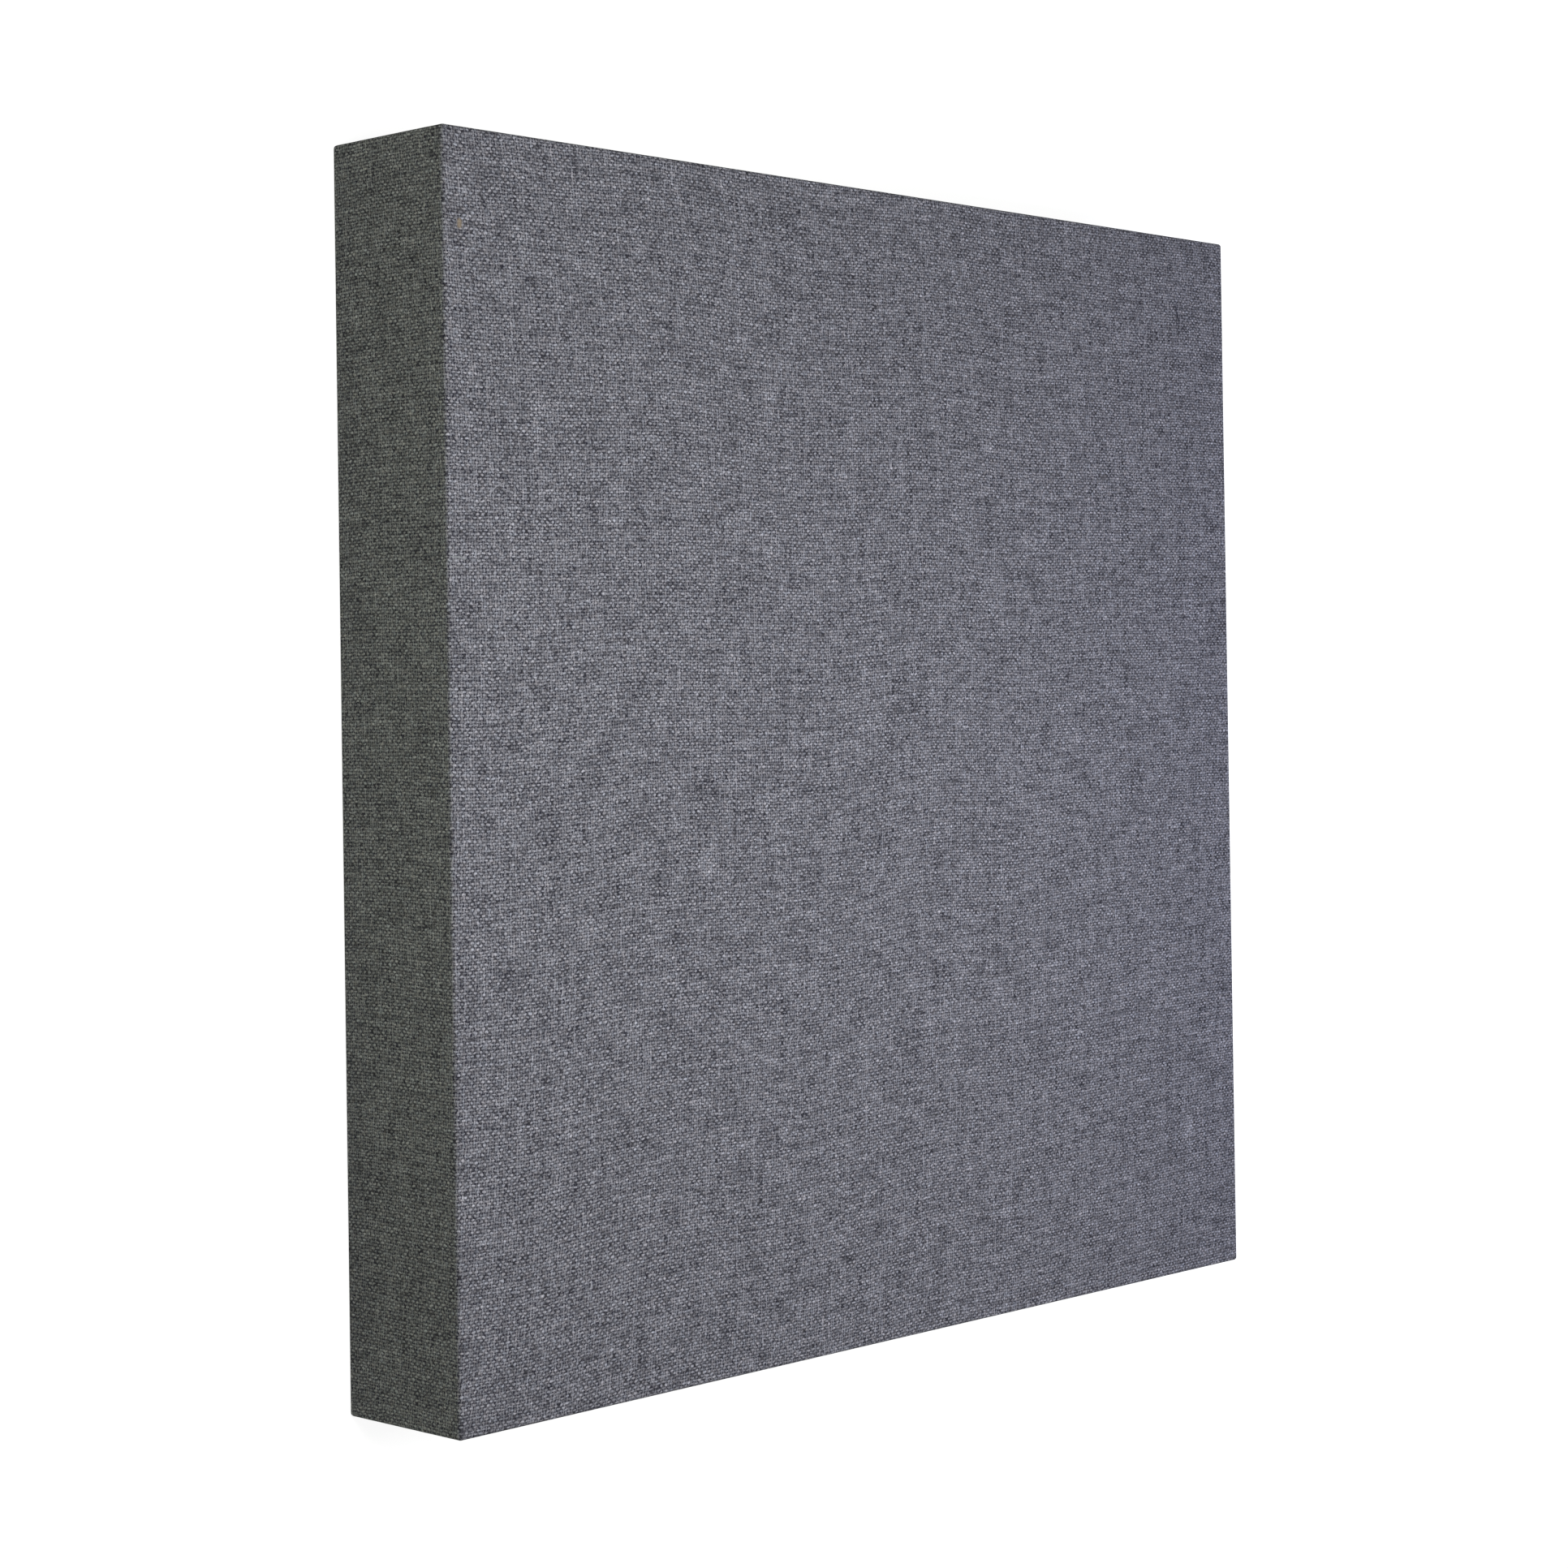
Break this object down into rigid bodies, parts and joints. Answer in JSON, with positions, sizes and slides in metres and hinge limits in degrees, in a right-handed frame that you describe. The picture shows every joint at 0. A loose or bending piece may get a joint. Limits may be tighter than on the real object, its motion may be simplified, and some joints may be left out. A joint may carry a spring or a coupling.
{
  "type": "fabric acoustic wall panel",
  "caption": "Square sound-absorbing wall panel: a rigid fibre board wrapped in a stretched grey woven cloth that is turned in over the back.",
  "frame": {"origin": "middle of the panel's back, in the plane of the turned-in cloth that lies against the wall", "axes": "+Z out of the front face, +Y up the wall, +X to the right as seen from the front. It is stored lying on its back"},
  "size_m": [0.6, 0.6, 0.08],
  "materials": {
    "core_fibre": "rigid board of matted glass fibre, straw yellow, matt",
    "cover_cloth": "plain-weave polyester cloth of heathered light and dark grey yarn, matt"
  },
  "bodies": {
    "root": {"core_board": "core_fibre", "fabric_cover": "cover_cloth"}
  },
  "joints": []
}
